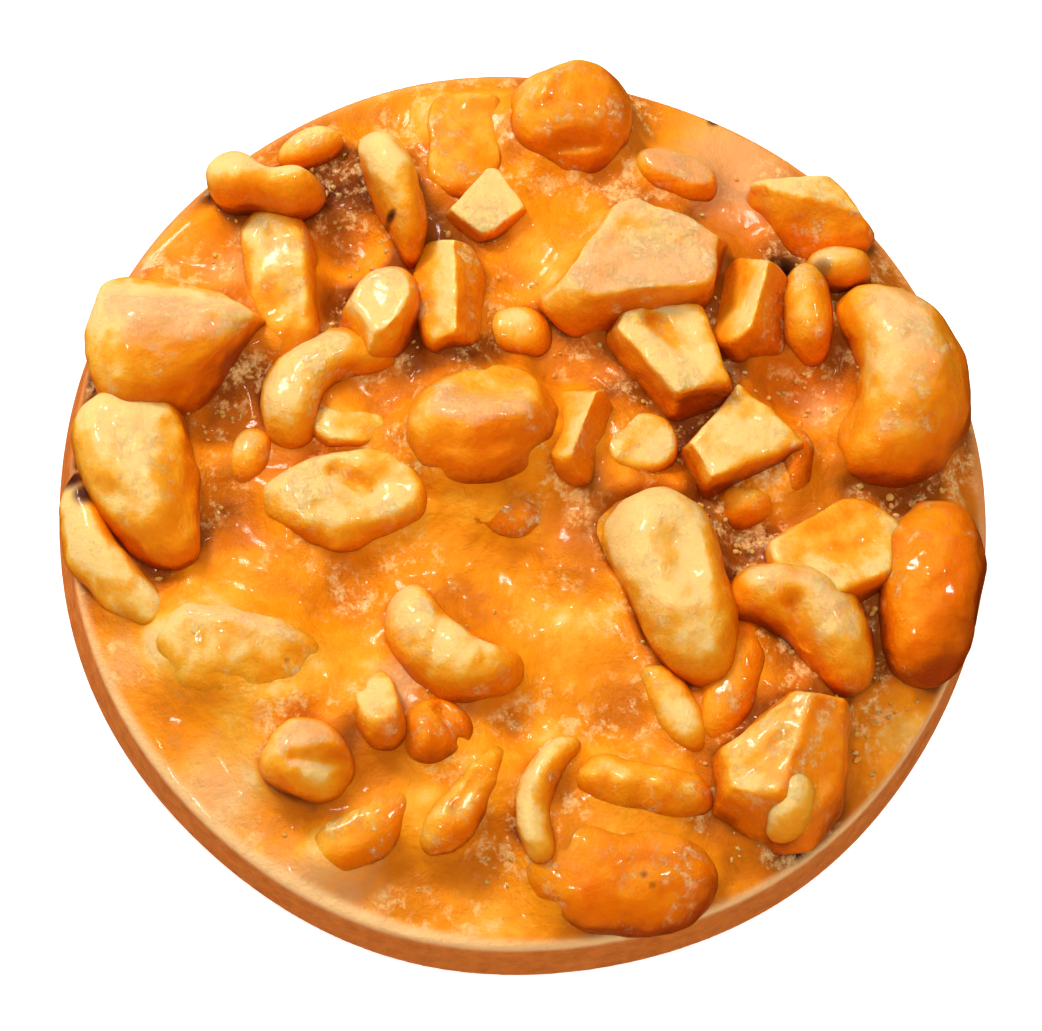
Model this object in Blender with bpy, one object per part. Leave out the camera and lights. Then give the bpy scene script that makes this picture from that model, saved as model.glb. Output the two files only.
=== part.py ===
"""Cashew patty: a round caramel disc crowded with whole, split and chipped cashews.

Every nut is its own closed solid. It starts as a sphere, is drawn out to its
length, width and height, bent like a cashew, sliced along its broken faces,
set down on the disc and trimmed to it. Lengths in the tables are millimetres.
"""
import math
import random

import bmesh
import bpy
from mathutils import Matrix, Vector

MM = 0.001

# ---------------------------------------------------------------- disc sizes
FOOT_RADIUS = 45.0
LIP_RADIUS = 44.0
LIP_HEIGHT = 7.4
CROWN_RISE = 2.2
DISC_SIDES = 64
GAP = 0.36

# ---------------------------------------------------------------- nut sizes
FINE_SHAPE = (10, 9)
MEDIUM_SHAPE = (9, 7)
SMALL_SHAPE = (8, 6)
END_BLUNTNESS = 2.2
SECTION_BLUNTNESS = 2.1
UNEVENNESS = 0.05

# Hollows and swells of the pour: (x, y, spread, lift).
SWELLS = (
    (-18.0, 25.6, 2.8, -1.3), (-28.5, 5.8, 3.0, -1.2), (21.1, -6.5, 2.6, -1.6),
    (33.3, -16.7, 3.0, -0.4), (20.6, 30.5, 2.6, -1.0), (26.5, 10.9, 3.0, -1.0),
    (-17.0, -12.0, 3.4, -0.7), (3.1, -16.7, 5.5, 0.9), (-12.0, -41.0, 3.5, -0.4),
    (2.0, 23.0, 4.0, 0.6), (-5.4, 2.6, 5.4, 1.5), (-31.5, -21.0, 4.0, 0.8),
    (-31.0, 26.0, 3.5, 0.6), (-4.0, -38.0, 3.0, -0.5), (-15.6, -32.2, 3.2, 0.7),
    (7.6, -36.4, 4.2, 1.0),
)

# name: (x, y, top) place; turn in plan; (length, width, height);
# bend in plan, arch upwards, taper to +length, waist; roll, pitch;
# broken faces, each as (heading, rise, distance from the nut's middle)
NUTS = {
    "whole_right": ((33.2, 10.9, 17.2), 90, (22.6, 11.2, 14.4), -205, 0, 0.04, 0.0, 0, 0, ()),
    "half_centre": ((13.9, -10.3, 17.6), 112, (20.6, 10.6, 13.4), 20, 0, -0.24, 0.0, 0, 0,
        ((20, 84, 5.8),)),
    "slab_upper": ((10.8, 21.9, 18.6), 20, (21.0, 13.4, 12.5), 14, 0, 0.0, 0.0, 0, 0,
        ((75, 80, 3.6), (145, 12, 5.6), (65, 14, 6.0), (-13, 10, 7.4), (-80, 22, 5.2))),
    "chunk_lower": ((23.4, -27.0, 17.8), 46, (18.0, 16.4, 13.5), 0, 0, 0.0, 0.0, 0, 0,
        ((150, 62, 4.7), (-10, 60, 4.9), (133, 14, 4.7), (80, 14, 6.9), (-5, 10, 5.7),
         (-35, 20, 6.3), (245, 20, 6.4), (180, 16, 6.2))),
    "dome_middle": ((-4.8, 5.4, 18.0), 14, (15.5, 12.5, 15.0), 0, 0, -0.05, 0.0, 0, 4,
        ((85, 55, 6.0),)),
    "cone_left": ((-33.3, 14.0, 17.5), 3, (18.0, 14.2, 13.4), 0, 0, 0.5, 0.0, 0, 6,
        ((88, 38, 4.6), (-42, 14, 5.4))),
    "half_left": ((-36.3, 0.4, 15.6), 112, (19.2, 10.8, 11.0), 14, 0, -0.26, 0.0, 0, -3,
        ((60, 80, 4.5),)),
    "dome_top": ((4.5, 38.1, 15.0), 20, (12.2, 11.8, 11.0), 0, 0, 0.0, 0.0, 0, 0, ()),
    "dome_bottom": ((8.1, -37.2, 11.9), -6, (18.4, 12.4, 8.8), 12, 0, -0.08, 0.0, 0, 0, ()),
    "nut_right": ((37.8, -9.8, 15.5), 80, (18.8, 10.6, 12.0), -20, 0, -0.1, 0.0, 0, 0, ()),
    "curl_tail": ((24.8, -14.4, 16.2), -35, (17.6, 7.8, 11.6), 158, 0, 0.0, 0.0, 0, 0, ()),
    "half_flat": ((-17.3, -1.1, 14.0), 2, (16.4, 9.8, 8.6), -10, 0, 0.04, 0.0, 0, 0,
        ((90, 84, 3.1),)),
    "bow_front": ((-25.2, 29.8, 17.5), -12, (11.6, 6.0, 10.0), -64, 0, 0.06, 0.34, 0, 0, ()),
    "upright_ridge": ((-7.7, 18.5, 18.2), 96, (12.4, 7.2, 12.0), 0, 0, 0.0, 0.0, 0, 0,
        ((172, 50, 2.4), (6, 38, 2.5), (90, 10, 5.8), (-90, 10, 5.6))),
    "knob_middle": ((-14.0, 16.8, 16.4), 62, (10.6, 7.4, 12.4), 12, 0, 0.06, 0.05, 0, 0,
        ((140, 68, 4.6), (200, 20, 3.9))),
    "slender_upper": ((-12.9, 28.2, 17.6), -72, (14.0, 4.6, 11.0), 34, 0, 0.30, 0.0, 0, -14, ()),
    "roof_right": ((21.4, 17.9, 17.0), 98, (11.0, 9.0, 11.5), 0, 0, 0.0, 0.0, 0, 0,
        ((160, 44, 2.6), (-12, 40, 3.0), (-70, 26, 4.4), (75, 12, 5.0))),
    "lobed_chip": ((13.3, 12.9, 17.6), -38, (14.5, 12.0, 9.5), 0, 0, 0.0, 0.0, 0, 0,
        ((70, 76, 2.2), (217, 10, 3.3), (97, 10, 4.4), (19, 10, 4.5), (-70, 12, 5.6),
         (150, 10, 5.9))),
    "triangle_chip": ((20.2, 4.4, 17.0), 52, (15.0, 14.0, 9.5), 0, 0, 0.0, 0.0, 0, 0,
        ((95, 83, 2.0), (45, 8, 3.7), (-67, 10, 3.3), (141, 8, 3.8), (205, 8, 5.3))),
    "roof_middle": ((4.7, 4.7, 17.6), 86, (10.4, 7.0, 12.0), 0, 0, 0.0, 0.0, 0, 0,
        ((150, 46, 3.0), (-15, 35, 2.4), (95, 20, 4.6))),
    "crescent_upper": ((-18.9, 9.6, 14.4), 44, (17.0, 6.4, 8.8), 165, 0, 0.06, 0.0, 0, 0, ()),
    "crescent_edge": ((-38.8, -6.6, 12.0), -56, (20.5, 5.6, 8.0), -86, 0, -0.08, 0.0, 0, 0, ()),
    "chunk_corner": ((27.8, 28.2, 15.4), -28, (13.4, 10.8, 10.5), 0, 0, 0.0, 0.0, 0, 0,
        ((80, 70, 3.9), (252, 48, 2.8), (92, 12, 3.9), (38, 12, 3.8), (-85, 14, 4.4), (212, 12, 3.8))),
    "chunk_side": ((29.1, -6.8, 15.9), 12, (14.0, 11.5, 9.5), 0, 0, 0.0, 0.0, 0, 0,
        ((85, 72, 1.9), (-12, 12, 5.6), (120, 12, 4.6), (-60, 16, 4.6))),
    "boomerang": ((-7.0, -15.2, 14.8), 143, (16.6, 7.0, 9.8), 150, 0, -0.06, -0.06, 0, 0, ()),
    "kernel_lower_left": ((-26.6, -17.0, 14.0), -14, (18.0, 10.0, 9.4), 20, 0, 0.12, 0.0, 16, 0, ()),
    "bow_body": ((-23.4, 19.8, 14.0), 97, (18.6, 7.8, 8.5), 12, 0, 0.0, 0.0, 0, 1, ()),
    "nut_sunk": ((7.8, -4.9, 12.1), 30, (17.0, 12.8, 8.0), 0, 0, 0.05, 0.0, 0, 0, ()),
    "curl_limb": ((18.5, -19.0, 13.5), 74, (14.5, 6.6, 8.0), -16, 0, 0.0, 0.0, 0, 0, ()),
    "knob_lower": ((23.6, -31.4, 16.7), 74, (7.0, 5.0, 9.6), 0, 0, 0.0, 0.0, 0, 0, ()),
    "cap_nut": ((-21.0, -27.4, 15.4), -30, (8.8, 7.8, 9.5), 0, 0, 0.1, 0.0, 0, 0,
        ((-60, 42, 3.0),)),
    "tooth": ((-14.5, -22.2, 15.0), 98, (8.4, 5.2, 8.6), 0, 0, 0.1, 0.0, 0, 0,
        ((110, 60, 2.7),)),
    "hook": ((1.4, -30.4, 13.5), 76, (13.8, 3.9, 6.5), 105, 0, 0.0, 0.0, 0, 0, ()),
    "strip": ((-6.5, -30.6, 13.0), 56, (12.8, 5.8, 6.5), -14, 0, 0.0, 0.12, 0, 0, ()),
    "lumpy_bar": ((10.2, -29.4, 12.8), -8, (14.0, 6.4, 6.5), 0, 0, 0.0, 0.16, 0, 0, ()),
    "round_chip": ((-9.3, -24.4, 13.0), 0, (7.6, 6.8, 6.5), 0, 0, 0.0, 0.0, 0, 0, ()),
    "chip_upper": ((-3.9, 28.4, 14.2), 34, (8.2, 7.2, 6.5), 0, 0, 0.0, 0.0, 0, 0,
        ((100, 84, 1.4), (140, 8, 2.6), (30, 8, 3.1), (-50, 8, 2.9), (230, 8, 3.1))),
    "slab_rim": ((-6.0, 35.2, 12.9), 86, (13.0, 9.5, 8.0), 0, 0, 0.0, 0.0, 0, 0,
        ((95, 80, 1.9), (180, 8, 3.6), (0, 8, 3.9), (90, 10, 5.6))),
    "sliver": ((13.2, -21.8, 12.6), -58, (11.2, 5.0, 6.0), 8, 0, 0.1, 0.0, 0, 0, ()),
    "chip_pale": ((10.6, 4.2, 14.2), 20, (7.0, 6.4, 6.5), 0, 0, 0.0, 0.0, 0, 0,
        ((90, 80, 1.5),)),
    "prop_right": ((27.3, 17.8, 14.5), 96, (10.2, 5.0, 8.0), 14, 0, 0.0, 0.0, 0, 6, ()),
    "lobe_right": ((30.2, 22.6, 14.0), 8, (6.4, 4.6, 6.5), 0, 0, 0.0, 0.0, 0, 0, ()),
    "chips_rim": ((14.4, 32.6, 12.0), -22, (9.0, 4.8, 5.5), 0, 0, 0.0, 0.1, 0, 0,
                  ((60, 66, 1.9),)),
    "nub_rim": ((-20.8, 34.6, 12.0), 24, (6.6, 4.4, 5.5), 0, 0, 0.0, 0.0, 0, 0, ()),
    "crescent_sunk": ((-15.6, -32.4, 11.0), 46, (13.4, 7.4, 6.2), -40, 0, 0.0, 0.0, 0, 0, ()),
    "jagged_chip": ((-17.2, 5.6, 13.8), -4, (7.8, 4.8, 6.5), 0, 0, 0.0, 0.1, 0, 0,
        ((85, 76, 1.5), (80, 10, 2.0))),
    "lump_centre": ((-3.2, -2.4, 12.6), -8, (10.0, 6.4, 5.5), 0, 0, 0.0, 0.0, 0, 0, ()),
    "lump_left": ((-23.8, -8.8, 11.1), -20, (10.0, 6.0, 5.0), 0, 0, 0.0, 0.0, 0, 0, ()),
    "lump_small": ((-26.6, 3.0, 11.4), 70, (6.2, 4.4, 5.0), 0, 0, 0.0, 0.0, 0, 0, ()),
    "chip_middle": ((-1.0, 15.8, 12.6), -12, (7.6, 5.0, 5.5), 0, 0, 0.0, 0.0, 0, 0, ()),
    "leaf": ((25.4, 2.2, 13.5), 84, (8.2, 3.6, 7.0), 0, 0, 0.0, 0.0, 0, 0, ()),
    "chip_side": ((21.2, -1.6, 12.4), 10, (6.4, 4.8, 5.5), 0, 0, 0.0, 0.0, 0, 0, ()),
}

TOASTED = (0.80, 0.42, 0.10, 1.0)
PALE = (0.93, 0.70, 0.36, 1.0)
CARAMEL = (0.74, 0.40, 0.15, 1.0)


def step_between(low, high, value):
    """Ease from 0 at low to 1 at high."""
    share = min(1.0, max(0.0, (value - low) / (high - low)))
    return share * share * (3.0 - 2.0 * share)


def caramel_height(x, y):
    """Height of the poured caramel at a place on the disc."""
    inward = 1.0 - step_between(27.0, 42.0, math.hypot(x, y))
    waves = (math.sin(0.31 * x + 0.4) * math.cos(0.27 * y - 0.9)
             + 0.6 * math.sin(0.19 * x - 0.36 * y + 2.1)
             + 0.4 * math.cos(0.48 * x + 0.22 * y))
    swell = sum(lift * math.exp(-((x - cx) ** 2 + (y - cy) ** 2) / (2.0 * spread ** 2))
                for cx, cy, spread, lift in SWELLS)
    return LIP_HEIGHT + inward * (CROWN_RISE + 0.55 * waves) + swell


def outline_swell(angle):
    """The hand-pressed outline wanders a little from a true circle."""
    return 0.22 * math.sin(3.0 * angle + 0.8) + 0.14 * math.sin(7.0 * angle + 2.0)


def add_material(name, colour, roughness):
    """A plain food surface."""
    material = bpy.data.materials.new(name)
    material.use_nodes = True
    shader = material.node_tree.nodes["Principled BSDF"]
    shader.inputs["Base Color"].default_value = colour
    shader.inputs["Roughness"].default_value = roughness
    shader.inputs["Metallic"].default_value = 0.0
    return material


def add_object(name, bm, collection, material=None):
    """Write a shaped bmesh, given in millimetres, as an object in metres."""
    bmesh.ops.triangulate(bm, faces=bm.faces[:])
    bmesh.ops.recalc_face_normals(bm, faces=bm.faces[:])
    mesh = bpy.data.meshes.new(name)
    bmesh.ops.scale(bm, vec=(MM, MM, MM), verts=bm.verts[:])
    bm.to_mesh(mesh)
    bm.free()
    made = bpy.data.objects.new(name, mesh)
    collection.objects.link(made)
    if material is not None:
        mesh.materials.append(material)
        mesh.shade_smooth()
        mesh.set_sharp_from_angle(angle=math.radians(42))
    return made


def disc_mesh(lift=0.0):
    """The caramel disc, turned from its half section and then made uneven."""
    section = [(0.0, LIP_HEIGHT), (5.0, LIP_HEIGHT), (10.0, LIP_HEIGHT), (15.0, LIP_HEIGHT),
               (20.0, LIP_HEIGHT), (25.0, LIP_HEIGHT), (30.0, LIP_HEIGHT), (34.5, LIP_HEIGHT),
               (38.5, LIP_HEIGHT), (41.5, LIP_HEIGHT), (LIP_RADIUS - 0.7, LIP_HEIGHT - 0.05),
               (LIP_RADIUS, LIP_HEIGHT - 0.6), (FOOT_RADIUS - 0.4, 3.4), (FOOT_RADIUS, 0.8),
               (FOOT_RADIUS - 0.5, 0.0), (0.0, 0.0)]
    bm = bmesh.new()
    corners = [bm.verts.new((r, 0.0, z)) for r, z in section]
    edges = [bm.edges.new(pair) for pair in zip(corners, corners[1:])]
    bmesh.ops.spin(bm, geom=corners + edges, cent=(0, 0, 0), axis=(0, 0, 1),
                   angle=math.tau, steps=DISC_SIDES, use_merge=True)
    bmesh.ops.remove_doubles(bm, verts=bm.verts[:], dist=0.001)
    for vert in bm.verts:
        x, y, z = vert.co
        radius = math.hypot(x, y)
        if z > LIP_HEIGHT - 0.2:
            vert.co.z = caramel_height(x, y) - (LIP_HEIGHT - z) + lift
        elif z > 4.0:
            vert.co.z += lift
        if radius > 40.0:
            grown = (radius + outline_swell(math.atan2(y, x))) / radius
            vert.co.x *= grown
            vert.co.y *= grown
    return bm


def shape_nut(number, size, bend, arch, taper, waist):
    """Draw a sphere out along X into a bent kernel, centred on its middle."""
    length, width, height = size
    draw = random.Random(101 + 7 * number)
    waves = [(Vector([draw.uniform(-2.6, 2.6) for _ in range(3)]), draw.uniform(0, math.tau))
             for _ in range(4)]
    around_count, along_count = (FINE_SHAPE if length > 14.5 else
                                 MEDIUM_SHAPE if length > 9.0 else SMALL_SHAPE)
    bm = bmesh.new()
    bmesh.ops.create_uvsphere(bm, u_segments=around_count, v_segments=along_count, radius=1.0,
                              matrix=Matrix.Rotation(math.radians(90), 4, "Y"))
    for vert in bm.verts:
        along, across, up = vert.co
        ring = math.hypot(across, up)
        if ring > 1e-6:
            around = math.atan2(up, across)
            full = (1.0 - abs(along) ** END_BLUNTNESS) ** (1.0 / END_BLUNTNESS)
            square = (abs(math.cos(around)) ** SECTION_BLUNTNESS
                      + abs(math.sin(around)) ** SECTION_BLUNTNESS) ** (-1.0 / SECTION_BLUNTNESS)
            full *= square
            across = full * math.cos(around)
            up = full * math.sin(around)
        uneven = 1.0 + UNEVENNESS * sum(math.sin(way.dot(vert.co) + start) for way, start in waves)
        narrow = (1.0 - taper * along) * (1.0 - waist * math.exp(-(along / 0.38) ** 2)) * uneven
        x = along * length / 2.0
        y = across * width / 2.0 * narrow
        z = up * height / 2.0 * (0.5 + 0.5 * narrow)
        if abs(bend) > 0:
            radius = length / math.radians(bend)
            swing = x / radius
            x, y = (radius + y) * math.sin(swing), (radius + y) * math.cos(swing) - radius
            y += radius * (1.0 - math.cos(math.radians(bend) / 2.0)) / 2.0
        if abs(arch) > 0:
            radius = length / math.radians(arch)
            swing = x / radius
            x, z = (radius + z) * math.sin(swing), (radius + z) * math.cos(swing) - radius
            z += radius * (1.0 - math.cos(math.radians(arch) / 2.0)) / 2.0
        vert.co = (x, y, z)
    return bm


def slice_face(bm, heading, rise, distance):
    """Cut away what lies past a plane and close the broken face."""
    h, r = math.radians(heading), math.radians(rise)
    facing = Vector((math.cos(h) * math.cos(r), math.sin(h) * math.cos(r), math.sin(r)))
    cut = bmesh.ops.bisect_plane(bm, geom=bm.verts[:] + bm.edges[:] + bm.faces[:], dist=0.001,
                                 plane_co=facing * distance, plane_no=facing, clear_outer=True)
    rim = [part for part in cut["geom_cut"] if isinstance(part, bmesh.types.BMEdge)]
    bmesh.ops.holes_fill(bm, edges=rim, sides=0)
    bmesh.ops.dissolve_degenerate(bm, edges=bm.edges[:], dist=0.02)


def nut_mesh(number, place, turn, size, bend, arch, taper, waist, roll, pitch, faces):
    """One kernel, shaped, turned, broken and set at its place."""
    x, y, top = place
    bm = shape_nut(number, size, bend, arch, taper, waist)
    turned = (Matrix.Rotation(math.radians(turn), 3, "Z")
              @ Matrix.Rotation(math.radians(-pitch), 3, "Y")
              @ Matrix.Rotation(math.radians(roll), 3, "X"))
    bmesh.ops.rotate(bm, cent=(0, 0, 0), matrix=turned, verts=bm.verts[:])
    for face in faces:
        slice_face(bm, *face)
    bmesh.ops.translate(bm, vec=(x, y, top - size[2] / 2.0), verts=bm.verts[:])
    return bm


def grown(bm, margin):
    """Push every face of a copy outwards, to cut a neighbour with clearance."""
    bm.normal_update()
    moves = [(vert, vert.normal * margin) for vert in bm.verts]
    for vert, move in moves:
        vert.co += move
    return bm


def boxes_meet(first, second):
    """Whether the two objects' boxes overlap."""
    a = [Vector(corner) for corner in first.bound_box]
    b = [Vector(corner) for corner in second.bound_box]
    return all(min(p[i] for p in a) < max(q[i] for q in b)
               and max(p[i] for p in a) > min(q[i] for q in b) for i in range(3))


def keep_largest_body(bm):
    """Drop the loose scraps that trimming leaves."""
    unseen = set(bm.verts)
    bodies = []
    while unseen:
        reach = [unseen.pop()]
        body = set(reach)
        while reach:
            for edge in reach.pop().link_edges:
                for vert in edge.verts:
                    if vert in unseen:
                        unseen.remove(vert)
                        body.add(vert)
                        reach.append(vert)
        bodies.append(body)

    def extent(body):
        return sum(max(v.co[i] for v in body) - min(v.co[i] for v in body) for i in range(3))

    largest = max(bodies, key=extent)
    bmesh.ops.delete(bm, geom=[v for v in bm.verts if v not in largest], context="VERTS")


def trim(body, cutters):
    """Cut the body with each cutter in turn and keep the one solid that is left."""
    for cutter in cutters:
        cut = body.modifiers.new("clear of " + cutter.name, "BOOLEAN")
        cut.operation = "DIFFERENCE"
        cut.object = cutter
    bpy.context.view_layer.update()
    evaluated = body.evaluated_get(bpy.context.evaluated_depsgraph_get())
    mesh = bpy.data.meshes.new_from_object(evaluated)
    bm = bmesh.new()
    bm.from_mesh(mesh)
    bmesh.ops.remove_doubles(bm, verts=bm.verts[:], dist=0.00002)
    bmesh.ops.dissolve_degenerate(bm, edges=bm.edges[:], dist=0.00002)
    keep_largest_body(bm)
    bmesh.ops.triangulate(bm, faces=bm.faces[:])
    bm.to_mesh(mesh)
    bm.free()
    body.modifiers.clear()
    body.data = mesh
    mesh.shade_smooth()
    mesh.set_sharp_from_angle(angle=math.radians(42))


for leftover in list(bpy.data.objects):
    bpy.data.objects.remove(leftover, do_unlink=True)

patty = bpy.data.collections.new("cashew patty")
bpy.context.scene.collection.children.link(patty)
cutting = bpy.data.collections.new("cutters")
bpy.context.scene.collection.children.link(cutting)

caramel = add_material("caramel", CARAMEL, 0.45)
toasted = add_material("toasted cashew", TOASTED, 0.4)
pale = add_material("pale cashew", PALE, 0.5)

add_object("caramel_disc", disc_mesh(), patty, caramel)
cutters = [add_object("disc clearance", disc_mesh(GAP), cutting)]

for number, (name, row) in enumerate(NUTS.items()):
    broken = bool(row[-1])
    nut = add_object(name, nut_mesh(number, *row), patty, pale if broken else toasted)
    trim(nut, [cutter for cutter in cutters if boxes_meet(nut, cutter)])
    cutters.append(add_object(name + " clearance", grown(nut_mesh(number, *row), GAP), cutting))

for cutter in cutters:
    cutter.hide_render = True
    cutter.display_type = "WIRE"
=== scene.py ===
# %% [markdown]
# A cashew patty is a hand-sized disc of butter caramel, poured thick and crowded
# with whole, split and broken cashews. The nuts stand up out of the caramel and
# the caramel climbs a little way up each of them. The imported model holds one
# plain solid for the disc and one for each nut. This script dresses them: it
# shapes every nut again with fine faces, pours the caramel round them, and
# gives each surface its own finish.

# %% Load the frame
import bisect
import math
import random

import bmesh
import bpy
import numpy as np
from mathutils import Matrix, Vector, noise
from mathutils.bvhtree import BVHTree


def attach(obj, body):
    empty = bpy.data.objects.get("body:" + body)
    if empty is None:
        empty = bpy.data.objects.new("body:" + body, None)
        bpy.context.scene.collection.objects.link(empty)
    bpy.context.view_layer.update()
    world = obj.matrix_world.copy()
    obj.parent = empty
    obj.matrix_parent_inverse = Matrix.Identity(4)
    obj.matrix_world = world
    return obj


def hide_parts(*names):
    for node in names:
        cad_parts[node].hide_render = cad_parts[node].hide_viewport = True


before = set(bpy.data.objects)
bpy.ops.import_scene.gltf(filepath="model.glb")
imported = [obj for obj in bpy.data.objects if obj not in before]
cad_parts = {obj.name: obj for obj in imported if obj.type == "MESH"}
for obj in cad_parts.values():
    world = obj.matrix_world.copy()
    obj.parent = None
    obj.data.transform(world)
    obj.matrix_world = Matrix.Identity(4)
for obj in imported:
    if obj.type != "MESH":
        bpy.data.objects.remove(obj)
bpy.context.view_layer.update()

MM = 0.001


def placed(name, data):
    """A new object in the scene that holds this camera, light or mesh."""
    made = bpy.data.objects.new(name, data)
    bpy.context.scene.collection.objects.link(made)
    return made


print("nodes to dress:", len(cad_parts))

# %% [markdown]
# The camera stands nearly overhead, 19 degrees off the vertical and a little to
# the left of the front, and is rolled so that the back of the disc leans to the
# right. A long lens keeps the round disc free of perspective stretch.

# %% Camera
CAMERA_RISE = math.radians(71.25)
CAMERA_TURN = math.radians(-13.54)
CAMERA_ROLL = -CAMERA_TURN
CAMERA_AWAY = 0.5     # in metres

backward = Vector((math.sin(CAMERA_TURN) * math.cos(CAMERA_RISE),
                   -math.cos(CAMERA_TURN) * math.cos(CAMERA_RISE),
                   math.sin(CAMERA_RISE)))
level = Vector((math.cos(CAMERA_TURN), math.sin(CAMERA_TURN), 0.0))
upright = backward.cross(level)
right_hand = math.cos(CAMERA_ROLL) * level + math.sin(CAMERA_ROLL) * upright
upward = -math.sin(CAMERA_ROLL) * level + math.cos(CAMERA_ROLL) * upright

lens = bpy.data.cameras.new("overhead lens")
lens.sensor_width = 36.0
lens.lens = 178.1
camera = placed("overhead camera", lens)
stand = Matrix((right_hand, upward, backward)).transposed().to_4x4()
stand.translation = backward * CAMERA_AWAY - right_hand * 0.07 * MM + upward * 0.67 * MM
camera.matrix_world = stand
bpy.context.scene.camera = camera
print("camera at", [round(v, 3) for v in camera.location])

# %% [markdown]
# Caramel looks its best in plain, broad light. A wide ceiling panel lights the
# patty evenly, a window at the back left models the nuts, three small sparks
# give them their wet glints, and a white surround stands in for a light tent.

# %% Light
WARM_WHITE = (1.0, 0.985, 0.96)
SPARK_PLACES = ((-0.10, 0.26, 0.42), (0.20, 0.12, 0.44), (-0.22, -0.10, 0.42))

bpy.context.scene.view_settings.view_transform = "Standard"
bpy.context.scene.view_settings.look = "Medium High Contrast"

surround = bpy.data.worlds.new("light tent")
bpy.context.scene.world = surround
surround.use_nodes = True
background = surround.node_tree.nodes["Background"]
background.inputs["Color"].default_value = (*WARM_WHITE, 1.0)
background.inputs["Strength"].default_value = 0.26
surround.cycles_visibility.glossy = False


def soft_panel(name, place, size, watts, colour):
    """A square studio panel that faces the patty, its size and place in metres."""
    panel = bpy.data.lights.new(name, "AREA")
    panel.size = size
    panel.energy = watts
    panel.color = colour
    lamp = placed(name, panel)
    lamp.location = place
    lamp.rotation_euler = (-Vector(place)).to_track_quat("-Z", "Y").to_euler()
    return lamp


soft_panel("window", (-0.24, 0.30, 0.34), 0.10, 1.3, WARM_WHITE)
ceiling = soft_panel("ceiling", (0.05, -0.05, 0.60), 0.40, 1.58, WARM_WHITE)
ceiling.visible_glossy = False
for number, place in enumerate(SPARK_PLACES):
    spark = soft_panel("spark " + str(number), place, 0.03, 0.22, (1.0, 1.0, 1.0))
    spark.visible_diffuse = False

# %% [markdown]
# The solids and the fine pieces share one list of nut sizes, in millimetres.
# Each row gives where the nut lies and how high its top is; its turn in
# degrees; its length, width and height; and the flat faces where it broke, each
# as a heading, a rise and a distance from the nut's middle. Then come, unless
# they are all zero from there on, how far it bends in degrees, how it tapers and
# pinches, and how it rolls and pitches.

# %% Nut sizes
FOOT_RADIUS = 45.0
LIP_RADIUS = 44.0
LIP_HEIGHT = 7.4
CROWN_RISE = 2.2
END_BLUNTNESS = 2.2
SECTION_BLUNTNESS = 2.1
UNEVENNESS = 0.05

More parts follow.
